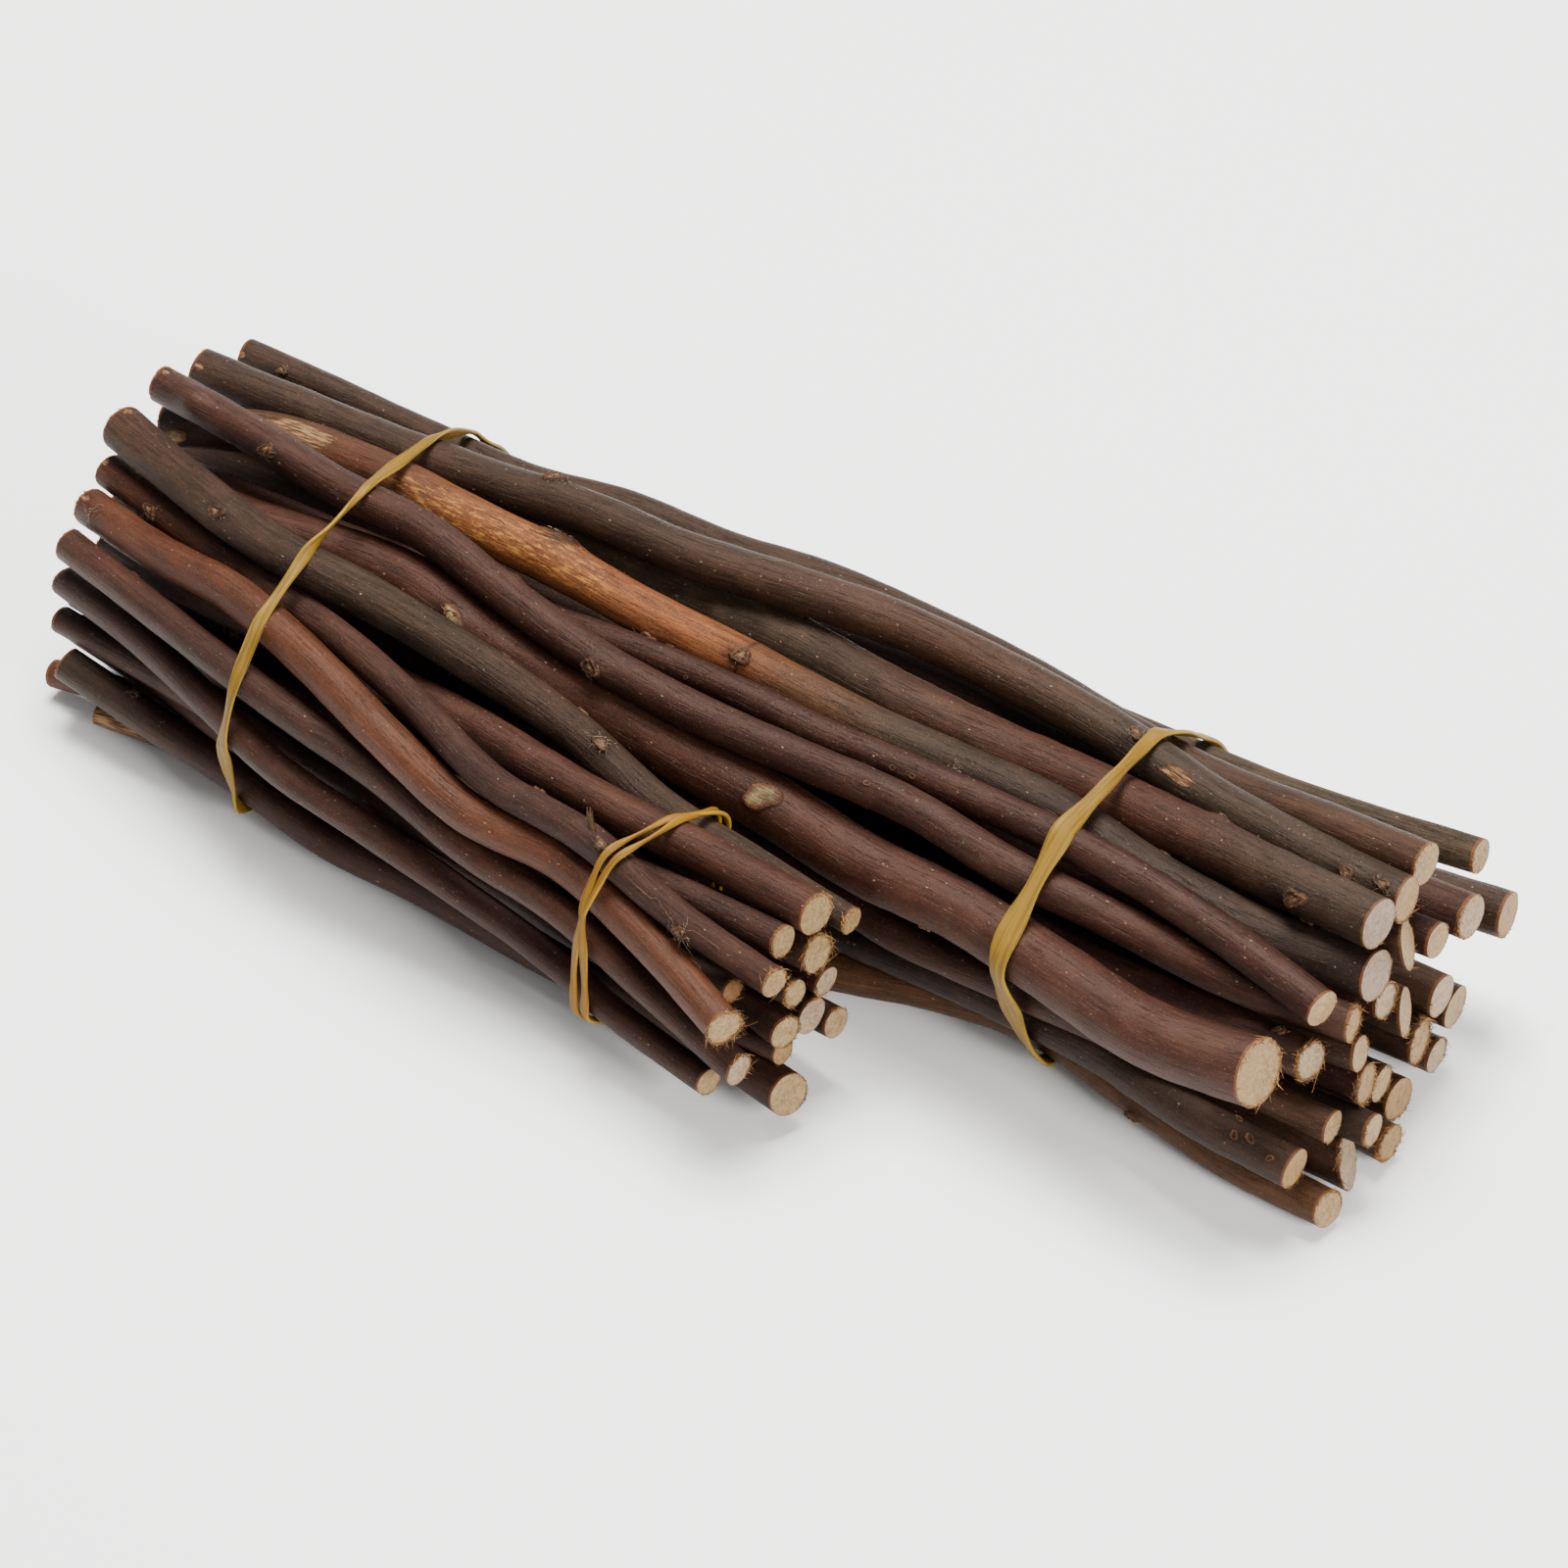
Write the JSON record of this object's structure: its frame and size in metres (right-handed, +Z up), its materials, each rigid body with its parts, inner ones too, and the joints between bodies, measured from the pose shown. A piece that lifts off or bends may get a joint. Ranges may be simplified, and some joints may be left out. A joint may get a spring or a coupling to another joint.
{
  "type": "bundle of twigs",
  "caption": "Bundle of cut twigs lying on its side, long ones behind and short ones in front, held together by rubber bands, with bare cut ends.",
  "frame": {"origin": "on the table, under the middle of the bundle's box", "axes": "+X along the long twigs towards their splayed cut ends, +Y away from the short twigs, +Z up"},
  "size_m": [0.3086, 0.1302, 0.065],
  "materials": {
    "long_bark": "brown bark with fine lengthwise grain, cream cut ends",
    "short_bark": "reddish brown bark with fine lengthwise grain, cream cut ends",
    "rubber": "golden, slightly see-through rubber, satin"
  },
  "bodies": {
    "root": {"long_twig_01": "long_bark", "long_twig_02": "long_bark", "long_twig_03": "long_bark", "long_twig_04": "long_bark", "long_twig_05": "long_bark", "long_twig_06": "long_bark", "long_twig_07": "long_bark", "long_twig_08": "long_bark", "long_twig_09": "long_bark", "long_twig_10": "long_bark", "long_twig_11": "long_bark", "long_twig_12": "long_bark", "long_twig_13": "long_bark", "long_twig_14": "long_bark", "long_twig_15": "long_bark", "long_twig_16": "long_bark", "long_twig_17": "long_bark", "long_twig_18": "long_bark", "long_twig_19": "long_bark", "long_twig_20": "long_bark", "long_twig_21": "long_bark", "long_twig_22": "long_bark", "long_twig_23": "long_bark", "long_twig_24": "long_bark", "long_twig_25": "long_bark", "long_twig_26": "long_bark", "long_twig_27": "long_bark", "long_twig_28": "long_bark", "long_twig_29": "long_bark", "short_twig_01": "short_bark", "short_twig_02": "short_bark", "short_twig_03": "short_bark", "short_twig_04": "short_bark", "short_twig_05": "short_bark", "short_twig_06": "short_bark", "short_twig_07": "short_bark", "short_twig_08": "short_bark", "short_twig_09": "short_bark", "short_twig_10": "short_bark", "short_twig_11": "short_bark", "short_twig_12": "short_bark", "short_twig_13": "short_bark", "short_twig_14": "short_bark", "short_twig_15": "short_bark", "short_twig_16": "short_bark", "band_left": "rubber", "band_long": "rubber", "band_short": "rubber"}
  },
  "joints": []
}
